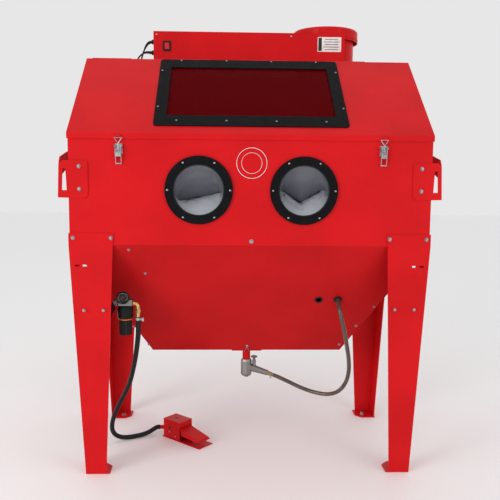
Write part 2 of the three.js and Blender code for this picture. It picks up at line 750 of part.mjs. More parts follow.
function collectorBox() {
  const shell = box(
    collector.left, collector.right, collectorFront, collector.back, collector.bottom, collectorTop,
  );
  const hollow = box(
    collector.left + sheet, collector.right - sheet, collectorFront + sheet, collector.back - sheet,
    collector.bottom - 1, collectorTop - sheet,
  );
  const fascia = box(
    collector.right - 1, collector.fasciaRight, collectorFront, collectorFront + sheet,
    roofTop + 5, collectorTop,
  );
  const [sx, sz] = switchPlace;
  const switchHole = box(sx - 11, sx + 11, collectorFront - 5, collectorFront + 5, sz - 15, sz + 15);
  const tools = [hollow, switchHole];
  for (const [y, z] of Object.values(glandPlaces)) {
    tools.push(rod([collector.left - 5, y, z], [collector.left + 5, y, z], 6.5, 20));
  }
  const [, ductY] = drumCentre;
  tools.push(rod([collector.right - 5, ductY, sideDuctZ], [collector.right + 5, ductY, sideDuctZ], 44, 20));
  return join(cut(shell, ...tools), fascia);
}

function filterDrum() {
  const [cx, cy] = drumCentre;
  const bottom = 1120;
  const wall = 1.5;
  const profile = [
    [0, 0], [drumRadius, 0], [drumRadius, drumTop - bottom], [drumRadius - wall, drumTop - bottom],
    [drumRadius - wall, wall], [0, wall],
  ];
  const cup = turned(profile, [cx, cy, bottom], [0, 0, 1], 36);
  const sidePipe = rod([collector.right + gap, cy, sideDuctZ], [cx - drumRadius + 8, cy, sideDuctZ], 42, 20);
  const frontPipe = rod([cx, bodyDepth + gap, ductHole.z], [cx, cy - drumRadius + 8, ductHole.z], 45, 20);
  const sideBore = rod([collector.right - 10, cy, sideDuctZ], [cx - drumRadius + 30, cy, sideDuctZ], 40, 20);
  const frontBore = rod([cx, bodyDepth - 10, ductHole.z], [cx, cy - drumRadius + 30, ductHole.z], 43, 20);
  const inside = rod([cx, cy, bottom + wall], [cx, cy, drumTop + 10], drumRadius - wall, 36);
  return cut(join(cup, cut(sidePipe, inside), cut(frontPipe, inside)), sideBore, frontBore);
}

function filterCartridge() {
  const [cx, cy] = drumCentre;
  const pleats = 20;
  const shape = new THREE.Shape();
  for (let i = 0; i < pleats * 2; i += 1) {
    const angle = (i / (pleats * 2)) * Math.PI * 2;
    const radius = i % 2 ? 72 : 88;
    const [x, y] = [cx + Math.cos(angle) * radius, cy + Math.sin(angle) * radius];
    if (i === 0) shape.moveTo(x, y);
    else shape.lineTo(x, y);
  }
  shape.holes = [circle(cx, cy, 45)];
  return levelPlate(shape, 1330, 220, 10);
}

function drumCap() {
  const [cx, cy] = drumCentre;
  const [outer, wall, bottom, top] = [136, 1.5, 1553, 1602];
  const height = top - bottom;
  const profile = [
    [0, height], [outer - 6, height - 1], [outer, height - 7], [outer, 4], [outer + 1.5, 0],
    [outer - wall, 0],
    [outer - wall, height - 8], [outer - 8, height - 2.5], [0, height - wall - 1],
  ];
  return turned(profile, [cx, cy, bottom], [0, 0, 1], 36);
}

const fanAxis = [-60, 778];

function fanMotor() {
  const [x, y] = fanAxis;
  const body = turned(
    [[0, 0], [52, 0], [58, 6], [58, 100], [50, 108], [0, 108]],
    [x, y, 1440], [0, 0, 1], 20,
  );
  const mountingPlate = box(x - 70, x + 70, y - 70, y + 70, 1548, 1552);
  return join(body, mountingPlate, rod([x, y, 1405], [x, y, 1442], 5, 16));
}

function fanWheel() {
  const [x, y] = fanAxis;
  const disc = rod([x, y, 1426], [x, y, 1430], 78, 24);
  const ring = tube(78, 50, 2, [x, y, 1396], [0, 0, 1], 24);
  const hub = rod([x, y, 1408], [x, y, 1430], 14, 12);
  const pieces = [disc, ring, hub];
  const blades = 8;
  for (let i = 0; i < blades; i += 1) {
    const blade = box(20, 76, -1, 1, 1397, 1427);
    blade.rotateZ((i / blades) * Math.PI * 2).translate(x, y, 0);
    pieces.push(blade);
  }
  return cut(join(...pieces), rod([x, y, 1380], [x, y, 1440], 5.4, 10));
}

function switchBezel() {
  const [x, z] = switchPlace;
  const shape = roundRect(THREE.Shape, x, z, 32, 40, 2);
  shape.holes = [boxHole(x, z, 18.6, 26.6)];
  const rim = frontPlate(shape, collectorFront - gap - 3, 3, 3);
  const sleeve = outline(
    [[x - 10.6, z - 14.6], [x + 10.6, z - 14.6], [x + 10.6, z + 14.6], [x - 10.6, z + 14.6]],
    [boxHole(x, z, 18.6, 26.6)],
  );
  return join(rim, frontPlate(sleeve, collectorFront - gap - 1, 14));
}

function rocker() {
  const [x, z] = switchPlace;
  const front = collectorFront - 5;
  const shape = outline([
    [front + 1.2, z - 12.2], [front + 9, z - 11.5], [front + 9, z + 11.5],
    [front - 1, z + 12.2], [front + 1, z],
  ]);
  return sidePlate(shape, x - 8.8, 17.6);
}

function cableGland([y, z], bore) {
  const x = collector.left;
  const nut = [
    [bore, -6], [9, -6], [9, -1.9], [6.2, -1.9], [6.2, gap],
    [10, gap], [10, 8], [7, 13], [bore, 15], [bore, -6],
  ];
  return turned(nut, [x, y, z], [-1, 0, 0], 20);
}

// --- lamp and gun --------------------------------------------------------------------------------

function workLamp() {
  const shell = [[470, 1397], [540, 1397], [534, 1372], [476, 1372]];
  return sidePlate(outline(shell), -200, 400);
}

function blastGun() {
  const [x, y, z] = [-20, 470, 806];
  const body = rod([x - 60, y, z], [x + 70, y - 10, z], 20, 20);
  const nozzle = rod([x + 60, y - 9, z], [x + 130, y - 14, z], 13, 16, 8);
  const grip = rod([x - 35, y, z], [x - 60, y + 100, z], 15, 16);
  return join(body, nozzle, grip);
}

// --- air set -------------------------------------------------------------------------------------

const regulator = { x: -411, y: 60, bodyTop: 590, bodyBottom: 567 };
const elbowExit = [-369, 60, 530];

function regulatorBracket() {
  const pad = box(-486, -448, 12.4, 15.4, 540, 584);
  const arm = box(-451, -448, 12.4, 84, 548, 580);
  return join(pad, arm);
}

function regulatorBody() {
  const { x, y, bodyTop, bodyBottom } = regulator;
  const block = box(x - 25, x + 25, y - 19, y + 19, bodyBottom, bodyTop);
  const core = rod([x, y, bodyBottom - 2], [x, y, bodyTop + 3], 24, 20);
  const bonnet = turned([[0, 0], [24, 0], [26, 4], [26, 34], [22, 42], [0, 42]], [x, y, 526], [0, 0, 1], 24);
  const boss = rod([-447.7, y, 579], [x - 20, y, 579], 11, 12);
  const [ex, ey, ez] = elbowExit;
  const arm = rod([x + 20, y, 576], [ex, y, 576], 8, 12);
  const knee = new THREE.SphereGeometry(8.6, 12, 8).translate(ex, y, 576);
  const drop = rod([ex, ey, ez], [ex, ey, 576], 7.2, 12);
  const socket = rod([ex, ey, ez + 16], [ex, ey, ez + 28], 9.5, 6);
  const neck = rod([x - 3, y - 15, 584], [x - 3, y - 24, 592], 6, 14);
  return join(block, core, bonnet, boss, arm, knee, drop, socket, neck);
}

// The gauge faces forward and up; its dial is sunk behind the bezel.
const gaugeOut = new THREE.Vector3(0, -0.8, 0.6);
const gaugeBack = [-414, 36, 594];

function pressureGauge() {
  const cup = [
    [0, 0], [18, 0], [20.5, 3], [20.5, 17], [18.5, 18], [18.5, 12], [0, 12],
  ];
  const arbor = [[0, 11.5], [1, 11.5], [1, 15], [0, 15]];
  const dial = turned(cup, gaugeBack, gaugeOut.toArray(), 24);
  return join(dial, turned(arbor, gaugeBack, gaugeOut.toArray(), 12));
}

function gaugeNeedle() {
  const hub = tube(2.6, 1.4, 1, [0, 0, 0], [0, 1, 0], 16);
  const hand = hull([[-0.9, 0, 2], [0.9, 0, 2], [0.4, 0, 14], [-0.4, 0, 14],
    [-0.9, 1, 2], [0.9, 1, 2], [0.4, 1, 14], [-0.4, 1, 14]]);
  const needle = join(hub, hand);
  needle.rotateY(THREE.MathUtils.degToRad(-45));
  needle.translate(0, 12.8, 0);
  needle.applyQuaternion(new THREE.Quaternion().setFromUnitVectors(new THREE.Vector3(0, 1, 0), gaugeOut));
  return needle.translate(...gaugeBack);
}

function regulatorKnob() {
  const { x, y } = regulator;
  const ribs = 16;
  const shape = new THREE.Shape();
  for (let i = 0; i < ribs * 2; i += 1) {
    const angle = (i / (ribs * 2)) * Math.PI * 2;
    const radius = i % 2 ? 19.4 : 21;
    const [px, py] = [x + Math.cos(angle) * radius, y + Math.sin(angle) * radius];
    if (i === 0) shape.moveTo(px, py);
    else shape.lineTo(px, py);
  }
  return levelPlate(shape, 472, 525.6 - 472);
}

const airHoseDiameter = 17;
const airHoseRoute = [
  [-369, 60, 529.6], [-369, 60, 505], [-370, 64, 475], [-377, 86, 427], [-388, 120, 374],
  [-403, 162, 316], [-421, 204, 258], [-446, 241, 202], [-472, 268, 150], [-491, 286, 105],
  [-500, 296, 72], [-500.5, 302, 46], [-491, 307, 26], [-471, 313, 13.5], [-446, 321, 9.2],
  [-415, 334, 9], [-388, 348, 10.5], [-367, 361, 15.5], [-352, 370, 22], [-340.5, 374.8, 27.2],
  [-328.5, 375.2, 28],
];

// --- foot pedal ----------------------------------------------------------------------------------

// The pedal's own frame: a along its length from the pivot towards the toe, b across it, on the floor.
const pedal = { x: -233.5, y: 325.4, turn: THREE.MathUtils.degToRad(-42), heel: -82, toe: 113, width: 72 };

function placePedal(geometry) {
  geometry.rotateZ(pedal.turn);
  return geometry.translate(pedal.x, pedal.y, 0);
}

function onPedal(a, b, z) {
  const [c, s] = [Math.cos(pedal.turn), Math.sin(pedal.turn)];
  return [pedal.x + a * c - b * s, pedal.y + a * s + b * c, z];
}

const treadlePivot = { a: 0, z: 42 };

function pedalHousing() {
  const { heel, toe, width } = pedal;
  const [rear, front] = [heel + 4, 8];
  const half = width / 2 - 3;
  const base = box(heel, toe, -width / 2, width / 2, 0, 2.5);
  const top = 72;
  const mouth = 51.5;
  const profile = outline([[rear, 2], [front, 2], [front, top], [rear, top]]);
  const matrix = new THREE.Matrix4().set(1, 0, 0, 0, 0, 0, -1, half, 0, 1, 0, 0, 0, 0, 0, 1);
  const block = plate(profile, half * 2, matrix);
  const inner = outline([
    [rear + 2, -1], [front + 20, -1], [front + 20, mouth], [front - 2, mouth],
    [front - 2, top - 2], [rear + 2, top - 2],
  ]);
  const hollow = plate(inner, half * 2 - 4, matrix.clone().setPosition(0, half - 2, 0));
  const shell = join(cut(block, hollow), base);
  const inlet = [rod([rear + 1, -14, 28], [rear - 12, -14, 28], 8, 12)];
  const { a: pinA, z: pinZ } = treadlePivot;
  const pinHoles = rod([pinA, -half - 5, pinZ], [pinA, half + 5, pinZ], 3.6, 16);
  const housing = placePedal(join(cut(shell, pinHoles), ...inlet));
  const knee = onPedal(rear - 12, -14, 28);
  const ball = new THREE.SphereGeometry(8.6, 12, 8).translate(...knee);
  return join(housing, ball, rod(knee, [-327.5, 375.2, 28], 7.5, 12));
}

// The treadle is a plate on two cheeks that turn on a cross pin, with a short heel inside the housing.
function pedalTreadle() {
  const half = pedal.width / 2 - 6;
  const profile = outline([
    [-6, 47], [6, 49], [22, 44], [100, 26], [106, 20], [104, 18], [98, 23],
    [22, 39.5], [10, 38], [0, 36.5], [-6, 37],
  ]);
  const matrix = new THREE.Matrix4().set(1, 0, 0, 0, 0, 0, -1, half - 1, 0, 1, 0, 0, 0, 0, 0, 1);
  const treadle = plate(profile, half * 2 - 2, matrix);
  const { a: pinA, z: pinZ } = treadlePivot;
  const pin = rod([pinA, -half - 2.5, pinZ], [pinA, half + 2.5, pinZ], 3, 16);
  return placePedal(join(treadle, pin));
}

// --- media feed ----------------------------------------------------------------------------------

const barbEnd = [101, 325, 250];

function meteringValve() {
  const { x, y } = outlet;
  const body = turned(
    [[0, 0], [9, 0], [9, 6], [18, 6], [20, 12], [20, 60], [18, 68], [0, 68]],
    [x, y, 245], [0, 0, 1], 8,
  );
  const arm = rod([x + 6, y, 283], [80, y, 258], 15, 16, 10);
  const barb = rod([78, y, 258.6], barbEnd, 7.5, 16, 6.5);
  const neck = rod([29, y, 272], [29, y, 308], 7, 16);
  return join(body, arm, barb, neck);
}

function meteringCap() {
  const { y } = outlet;
  const mushroom = [[0, 0], [4, 0], [5, 6], [13, 12], [11.5, 15], [6, 17], [0, 17.5]];
  return turned(mushroom, [29, y, 308.4], [0, 0, 1], 24);
}

const mediaHoseDiameter = 15;
const mediaEntry = onHopperFront(...mediaPortPlace, 4.4);
const mediaHoseRoute = [
  [101.7, 325, 249.7], [110, 325, 246.6], [130, 322.5, 238.5], [158, 315, 227], [204, 300, 209],
  [250, 280, 198], [298, 255, 198], [332, 230, 217], [354, 205, 257], [361, 185, 305],
  [356, 165, 354], [346, 147, 402], [334, 127, 450], [323, 112, 490], [314, 105, 522],
  [309.5, 110.5, 545], onHopperFront(...mediaPortPlace, 24), mediaEntry,
];

// --- leads ---------------------------------------------------------------------------------------

const leadDiameter = 6.5;
const glandTip = collector.left - 15.4;
const leadRest = roofTop + leadDiameter / 2 + 0.4;
const coil = { x: -392, y: 545, radius: 36, thickness: 2 * leadDiameter + 7, height: 3 * leadDiameter + 0.6 };
const mainsLeadRoute = [
  [glandTip, 700, 1493], [-401, 702, 1495], [-417, 704, 1492.5], [-432, 701, 1481], [-443, 690, 1462],
  [-449, 671, 1441], [-452, 648, 1422], [-452, 624, 1409], [-450, 606, leadRest], [-448, 592, leadRest],
  [-444.6, 574, leadRest], [-440.8, 557, leadRest],
];
const lampLeadRoute = [
  [glandTip, 700, 1536], [-400, 697, 1529], [-410, 688, 1511], [-417, 674, 1487], [-422, 656, 1460],
  [-424, 638, 1436], [-424, 622, 1421], [-424, 610, 1412.5], [-424, 604, 1404.8],
];

function leadCoil() {
  const { x, y, radius, thickness, height } = coil;
  return tube(radius + thickness / 2, radius - thickness / 2, height, [x, y, roofTop + gap], [0, 0, 1], 28);
}

function mainsPlug() {
  const [x, y, z] = [-300, 545, roofTop + gap];
  const body = outline([
    [x - 22, y - 14], [x + 10, y - 17], [x + 16, y], [x + 10, y + 17], [x - 22, y + 14], [x - 30, y],
  ]);
  const pieces = [levelPlate(body, z, 26)];
  for (const side of [-1, 1]) {
    const pinY = y + side * 9.5;
    pieces.push(rod([x + 10, pinY, z + 13], [x + 33, pinY, z + 13], 2.4, 12));
  }
  return join(...pieces);
}

// --- assembly ------------------------------------------------------------------------------------

part('front_panel', 'powder_red', frontPanel());
part('side_panel_right', 'powder_red', sidePanel());
part('side_panel_left', 'powder_red', mirrorX(sidePanel()));
part('back_panel', 'powder_red', backPanel());
part('roof_panel', 'powder_red', roofPanel());
const pinEnds = [-1, 1].map((side) => [side * knuckleSpan / 2, hingeY, hingeZ]);
part('hinge_pin', 'galvanised', rod(...pinEnds, pinRadius, 12));
part('lid_seal', 'rubber_black', lidSeal());
part('work_grate', 'galvanised', workGrate());
part('hopper_front', 'hopper_red', hopperFront());
part('hopper_back', 'hopper_red', hopperWall(hopperBackSlope, -1));
part('hopper_right', 'hopper_red', hopperSide());
part('hopper_left', 'hopper_red', mirrorX(hopperSide()));
part('hopper_floor', 'hopper_red', hopperFloor());
part('media_grommet', 'rubber_black', hopperGrommet(mediaPortPlace, 8));

part('leg_front_right', 'powder_red', legShape());
part('leg_front_left', 'powder_red', mirrorX(legShape()));
part('leg_back_right', 'powder_red', mirrorY(legShape()));
part('leg_back_left', 'powder_red', mirrorX(mirrorY(legShape())));
part('side_handle_right', 'powder_red', sideHandle());
part('side_handle_left', 'powder_red', mirrorX(sideHandle()));

for (const [side, sign] of [['left', -1], ['right', 1]]) {
  part(`port_ring_${side}`, 'satin_black', portRing((sign * portSpacing) / 2));
  part(`glove_${side}`, 'glove_rubber', glove((sign * portSpacing) / 2));
  part(`latch_base_${side}`, 'galvanised', latchBase(sign * latchX));
  part(`latch_lever_${side}`, 'galvanised', latchLever(sign * latchX));
  part(`latch_bail_${side}`, 'galvanised', latchBail(sign * latchX));
}

part('lid_panel', 'powder_red', lidPanel());
part('window_frame', 'satin_black', windowFrame());
part('window_pane', 'glass', windowPane());
part('lid_prop', 'galvanised', lidProp());

part('collector_box', 'powder_red', collectorBox());
part('filter_drum', 'powder_red', filterDrum());
part('filter_cartridge', 'filter_paper', filterCartridge());
part('drum_cap', 'powder_red', drumCap());
part('fan_motor', 'satin_black', fanMotor());
part('fan_wheel', 'black_plastic', fanWheel());
part('switch_bezel', 'black_plastic', switchBezel());
part('rocker', 'red_plastic', rocker());
part('gland_mains', 'black_plastic', cableGland(glandPlaces.mains, 3.6));
part('work_lamp', 'lamp_white', workLamp());
part('blast_gun', 'zinc_cast', blastGun());

part('regulator_bracket', 'satin_black', regulatorBracket());
part('regulator_body', 'zinc_cast', regulatorBody());
part('pressure_gauge', 'black_plastic', pressureGauge());
part('gauge_needle', 'red_plastic', gaugeNeedle());
part('regulator_knob', 'black_plastic', regulatorKnob());
part('air_hose', 'rubber_black', sweep(airHoseRoute, airHoseDiameter, 8, 30));

part('pedal_housing', 'powder_red', pedalHousing());
part('pedal_treadle', 'powder_red', pedalTreadle());

part('metering_valve', 'zinc_cast', meteringValve());
part('metering_cap', 'zinc_cast', meteringCap());
part('media_hose', 'hose_clear', sweep(mediaHoseRoute, mediaHoseDiameter, 8, 30));

part('mains_lead', 'lead_black', sweep(mainsLeadRoute, leadDiameter, 8, 18));
part('mains_coil', 'lead_black', leadCoil());
part('mains_plug', 'black_plastic', mainsPlug());
part('lamp_lead', 'lead_black', sweep(lampLeadRoute, leadDiameter, 8, 16));

export default group;
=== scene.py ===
"""A sandblast cabinet: looks, soft goods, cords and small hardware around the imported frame.

Positions are worked out in cabinet millimetres: x to the operator's right, y back from the chamber's
front face, z up from the floor. at() turns them into the frame's metres.
"""
import json
import math

import bpy
from mathutils import Matrix, Vector, noise


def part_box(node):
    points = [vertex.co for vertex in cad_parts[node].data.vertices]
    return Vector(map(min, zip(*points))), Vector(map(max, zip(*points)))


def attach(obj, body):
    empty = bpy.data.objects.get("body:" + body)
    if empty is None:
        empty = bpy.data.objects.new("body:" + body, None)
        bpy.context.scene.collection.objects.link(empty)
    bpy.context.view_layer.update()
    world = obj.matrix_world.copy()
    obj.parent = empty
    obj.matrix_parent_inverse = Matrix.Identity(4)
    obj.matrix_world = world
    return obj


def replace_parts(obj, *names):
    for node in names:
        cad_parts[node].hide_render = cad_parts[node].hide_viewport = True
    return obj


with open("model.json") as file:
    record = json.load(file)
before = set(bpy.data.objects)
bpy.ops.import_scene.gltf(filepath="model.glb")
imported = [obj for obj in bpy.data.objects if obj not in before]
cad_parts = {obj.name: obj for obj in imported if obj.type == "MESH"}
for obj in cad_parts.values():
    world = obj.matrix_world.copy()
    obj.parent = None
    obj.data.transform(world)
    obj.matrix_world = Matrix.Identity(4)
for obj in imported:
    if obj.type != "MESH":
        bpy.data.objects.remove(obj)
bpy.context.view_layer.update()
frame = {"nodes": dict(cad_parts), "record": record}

MM = 0.001
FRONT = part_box("front_panel")[0].y
RIGHT = Vector((1, 0, 0))
BACK = Vector((0, 1, 0))
FORWARD = Vector((0, -1, 0))
UP = Vector((0, 0, 1))


def at(x, y, z):
    """A point in cabinet millimetres, as a point in the frame."""
    return Vector((x * MM, FRONT + y * MM, z * MM))


# --- camera --------------------------------------------------------------------------------------

CAMERA_PLACE = (-89.3, -2107.3, 1004.1)
CAMERA_YAW = -0.0323
CAMERA_PITCH = -0.1146
CAMERA_ROLL = 0.0084
CAMERA_LENS = 47.79
CAMERA_SHIFT = 0.01125


def make_camera():
    data = bpy.data.cameras.new("camera")
    data.lens = CAMERA_LENS
    data.sensor_width = 36
    data.shift_x = CAMERA_SHIFT
    data.clip_end = 60
    camera = bpy.data.objects.new("camera", data)
    forward = Vector((
        -math.sin(CAMERA_YAW) * math.cos(CAMERA_PITCH),
        math.cos(CAMERA_YAW) * math.cos(CAMERA_PITCH),
        math.sin(CAMERA_PITCH),
    ))
    level = forward.cross(UP).normalized()
    above = level.cross(forward)
    right = level * math.cos(CAMERA_ROLL) + above * math.sin(CAMERA_ROLL)
    up = above * math.cos(CAMERA_ROLL) - level * math.sin(CAMERA_ROLL)
    turn = Matrix((right, up, -forward)).transposed().to_4x4()
    camera.matrix_world = Matrix.Translation(at(*CAMERA_PLACE)) @ turn
    bpy.context.scene.collection.objects.link(camera)
    bpy.context.scene.camera = camera


make_camera()


# --- materials -----------------------------------------------------------------------------------


class Paint:
    """A node material that is built up from a Principled shader."""

    def __init__(self, name, color, roughness, metallic=0.0):
        self.material = bpy.data.materials.new(name)
        self.material.use_nodes = True
        self.nodes = self.material.node_tree.nodes
        self.links = self.material.node_tree.links
        self.shader = self.nodes["Principled BSDF"]
        self.shader.inputs["Base Color"].default_value = (*color, 1)
        self.shader.inputs["Roughness"].default_value = roughness
        self.shader.inputs["Metallic"].default_value = metallic
        self.coordinates = self.nodes.new("ShaderNodeTexCoord")
        self.color = color

    def set(self, **values):
        for name, value in values.items():
            self.shader.inputs[name.replace("_", " ")].default_value = value
        return self

    def noise(self, scale, detail=3.0, stretch=(1, 1, 1)):
        mapping = self.nodes.new("ShaderNodeMapping")
        mapping.inputs["Scale"].default_value = stretch
        texture = self.nodes.new("ShaderNodeTexNoise")
        texture.inputs["Scale"].default_value = scale
        texture.inputs["Detail"].default_value = detail
        self.links.new(self.coordinates.outputs["Object"], mapping.inputs["Vector"])
        self.links.new(mapping.outputs["Vector"], texture.inputs["Vector"])
        return texture.outputs["Fac"]

    def ramp(self, source, low, high, start=0.35, end=0.65):
        """Colours from low to high as source goes from start to end."""
        node = self.nodes.new("ShaderNodeValToRGB")
        first, last = node.color_ramp.elements
        first.position, last.position = start, end
        first.color, last.color = (*low, 1), (*high, 1)
        self.links.new(source, node.inputs["Fac"])
        return node.outputs["Color"]

    def vary_color(self, scale, spread, detail=3.0, stretch=(1, 1, 1)):
        low = [c * (1 - spread) for c in self.color]
        high = [min(1, c * (1 + spread)) for c in self.color]
        color = self.ramp(self.noise(scale, detail, stretch), low, high)
        self.links.new(color, self.shader.inputs["Base Color"])
        return self

    def vary_roughness(self, scale, low, high, detail=3.0, stretch=(1, 1, 1)):
        color = self.ramp(self.noise(scale, detail, stretch), [low] * 3, [high] * 3)
        self.links.new(color, self.shader.inputs["Roughness"])
        return self

    def bump(self, scale, distance, strength=0.3, detail=2.0, stretch=(1, 1, 1)):
        node = self.nodes.new("ShaderNodeBump")
        node.inputs["Distance"].default_value = distance
        node.inputs["Strength"].default_value = strength
        self.links.new(self.noise(scale, detail, stretch), node.inputs["Height"])
        self.links.new(node.outputs["Normal"], self.shader.inputs["Normal"])
        return self


def powder_coat(name, color):
    paint = Paint(name, color, 0.36)
    paint.set(Specular_IOR_Level=0.08)
    paint.vary_color(6, 0.06).vary_roughness(14, 0.28, 0.4)
    return paint.bump(420, 0.0004, 0.12).material


def metal(name, color, roughness, grain=160, stretch=(1, 1, 1)):
    paint = Paint(name, color, roughness, 1.0).vary_color(30, 0.1)
    paint.vary_roughness(60, roughness - 0.08, roughness + 0.1, 4)
    return paint.bump(grain, 0.0003, 0.15, 3, stretch).material


def moulded(name, color, roughness, grain=900, depth=0.0002, gloss=0.3):
    paint = Paint(name, color, roughness).set(Specular_IOR_Level=gloss)
    paint.vary_color(40, 0.12)
    paint.vary_roughness(50, roughness - 0.07, roughness + 0.08)
    return paint.bump(grain, depth, 0.25).material


def window_glass():
    """The pane's paint is dark red and mostly opaque: painted shade in place of a view of the shaded red
    inside.
    """
    paint = Paint("glass", (0.11, 0.0006, 0.002), 0.06)
    paint.set(Alpha=0.72, Specular_IOR_Level=0.01)
    return paint.vary_roughness(9, 0.04, 0.09).material


def clear_cover():
    paint = Paint("clear_cover", (0.05, 0.05, 0.05), 0.05)
    return paint.set(Alpha=0.08, Specular_IOR_Level=0.1).material


def sleeve_vinyl():
    """Ribbed vinyl with painted light: paler where it faces up in the world and darker elsewhere."""
    paint = Paint("glove_rubber", (0.13, 0.14, 0.165), 0.26).set(Specular_IOR_Level=0.7)
    geometry = paint.nodes.new("ShaderNodeNewGeometry")
    split = paint.nodes.new("ShaderNodeSeparateXYZ")
    paint.links.new(geometry.outputs["Normal"], split.inputs["Vector"])
    # painted light: the colour runs from dark on faces pointing down to pale on faces pointing up
    painted_light_tone = paint.ramp(split.outputs["Z"], (0.1, 0.108, 0.128), (0.46, 0.48, 0.52), 0.15, 0.85)
    paint.links.new(painted_light_tone, paint.shader.inputs["Base Color"])
    return paint.bump(330, 0.0012, 0.5, 2, (1, 0.12, 0.12)).material


def vinyl():
    paint = Paint("hose_clear", (0.11, 0.078, 0.06), 0.2)
    paint.set(Transmission_Weight=0.25, IOR=1.45, Coat_Weight=0.4)
    return paint.vary_color(25, 0.25).bump(40, 0.0006, 0.1).material


RED = (0.58, 0.008, 0.011)
finishes = {
    "powder_red": powder_coat("powder_red", RED),
    # hopper_red is a darker copy of the same powder coat: painted shade for the hopper, which faces down
    # away from the light
    "hopper_red": powder_coat("hopper_red", (0.5, 0.007, 0.009)),
    "satin_black": moulded("satin_black", (0.007, 0.007, 0.008), 0.45, 500, 0.0003, 0.04),
    "black_plastic": moulded("black_plastic", (0.008, 0.008, 0.009), 0.42, 900, 0.0002, 0.2),
    "galvanised": metal("galvanised", (0.4, 0.41, 0.42), 0.34),
    "zinc_cast": metal("zinc_cast", (0.27, 0.26, 0.25), 0.46, 520),
    "brass": metal("brass", (0.62, 0.42, 0.15), 0.28),
    "glass": window_glass(),
    "rubber_black": moulded("rubber_black", (0.008, 0.008, 0.009), 0.5, 700, 0.0003, 0.25),
    "glove_rubber": sleeve_vinyl(),
    "clear_cover": clear_cover(),
    "hose_clear": vinyl(),
    "lead_black": moulded("lead_black", (0.011, 0.011, 0.013), 0.42, 800),
    "filter_paper": moulded("filter_paper", (0.6, 0.56, 0.45), 0.85, 350, 0.0006),
    "lamp_white": moulded("lamp_white", (0.78, 0.8, 0.82), 0.32, 300),
    "red_plastic": moulded("red_plastic", (0.6, 0.02, 0.012), 0.25, 600),
    "orange": moulded("orange", (0.85, 0.2, 0.02), 0.4),
    "label": moulded("label", (0.78, 0.78, 0.76), 0.5, 200),
    "ink": moulded("ink", (0.02, 0.02, 0.022), 0.5),
}

slot_of = {}
for entry in frame["record"]["subparts"]:
    slot_of[entry["node"]] = entry["material_slot"]
for node, obj in frame["nodes"].items():
    obj.data.materials.clear()
    obj.data.materials.append(finishes[slot_of[node]])

RECORD_SLOTS = set(slot_of.values())


# --- mesh building -------------------------------------------------------------------------------


def axes_for(direction):
    """Two unit vectors square to direction, and direction itself."""
    w = Vector(direction).normalized()
    other = UP if abs(w.z) < 0.9 else Vector((1, 0, 0))
    u = other.cross(w).normalized()
    return u, w.cross(u), w


class Piece:
    """Collects closed shapes, in cabinet millimetres, into one object."""

    def __init__(self, name, body, finish, slot=None):
        self.name, self.body, self.finish = name, body, finish
        self.slot = slot or (finish if finish in RECORD_SLOTS else "galvanised")
        self.points, self.faces = [], []

    def add(self, points, faces):
        start = len(self.points)
        self.points += [Vector(p) for p in points]
        self.faces += [[start + i for i in face] for face in faces]
        return self

    def rings(self, rings, closed=False):
        """Joins rings of equal length, in order, capping both ends unless closed."""
        sides, count = len(rings[0]), len(rings)
        faces = []
        for i in range(count if closed else count - 1):
            low, high = i * sides, ((i + 1) % count) * sides
            for k in range(sides):
                after = (k + 1) % sides
                faces.append([low + k, low + after, high + after, high + k])
        if not closed:
            faces.append(list(range(sides))[::-1])
            faces.append([(count - 1) * sides + k for k in range(sides)])
        return self.add([p for ring in rings for p in ring], faces)

    def lathe(self, profile, origin, direction, sides=24, closed=False):
        """Turns a profile of (radius, height) about direction. Ends on the axis are capped."""
        u, v, w = axes_for(direction)
        origin = Vector(origin)
        rings = []
        for radius, height in profile:
            ring = []
            for k in range(sides):
                angle = 2 * math.pi * k / sides
                spoke = u * math.cos(angle) + v * math.sin(angle)
                ring.append(origin + w * height + spoke * radius)
            rings.append(ring)
        return self.rings(rings, closed)

    def tube(self, path, radius, sides=12):
        """A round bar along a path. radius is a number or a list with one for each point."""
        path = [Vector(p) for p in path]
        radii = radius if isinstance(radius, list) else [radius] * len(path)
        u = axes_for(path[1] - path[0])[0]
        rings = []
        for i, point in enumerate(path):
            w = (path[min(i + 1, len(path) - 1)] - path[max(i - 1, 0)]).normalized()
            u = (u - w * u.dot(w)).normalized()
            v = w.cross(u)
            angles = [2 * math.pi * k / sides for k in range(sides)]
            rings.append([point + (u * math.cos(a) + v * math.sin(a)) * radii[i] for a in angles])
        return self.rings(rings)

    def prism(self, outline, origin, u, v, depth):
        """An outline in the plane of u and v, pushed out by depth along u x v."""
        u, v, origin = Vector(u), Vector(v), Vector(origin)
        w = u.cross(v)
        rings = [[origin + u * a + v * b + w * d for a, b in outline] for d in (0, depth)]
        return self.rings(rings)

    def build(self, bevel=0.0, smooth=35):
        mesh = bpy.data.meshes.new(self.name)
        mesh.from_pydata([at(*p) for p in self.points], [], self.faces)
        mesh.update()
        obj = bpy.data.objects.new(self.name, mesh)
        bpy.context.scene.collection.objects.link(obj)
        mesh.materials.append(finishes[self.finish])
        if bevel:
            modifier = obj.modifiers.new("edges", "BEVEL")
            modifier.width = bevel * MM
            modifier.segments = 2
            modifier.limit_method = "ANGLE"
        mesh.shade_smooth()
        mesh.set_sharp_from_angle(angle=math.radians(smooth))
        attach(obj, self.body)
        return obj


def rounded(half_u, half_v, radius, steps=4):
    """A rectangle about the origin with round corners."""
    points = []
    for quarter, (su, sv) in enumerate([(1, 1), (-1, 1), (-1, -1), (1, -1)]):
        for k in range(steps + 1):
            angle = (quarter + k / steps) * math.pi / 2
            points.append((
                su * (half_u - radius) + math.cos(angle) * radius,
                sv * (half_v - radius) + math.sin(angle) * radius,
            ))
    return points


WASHER = 1.2


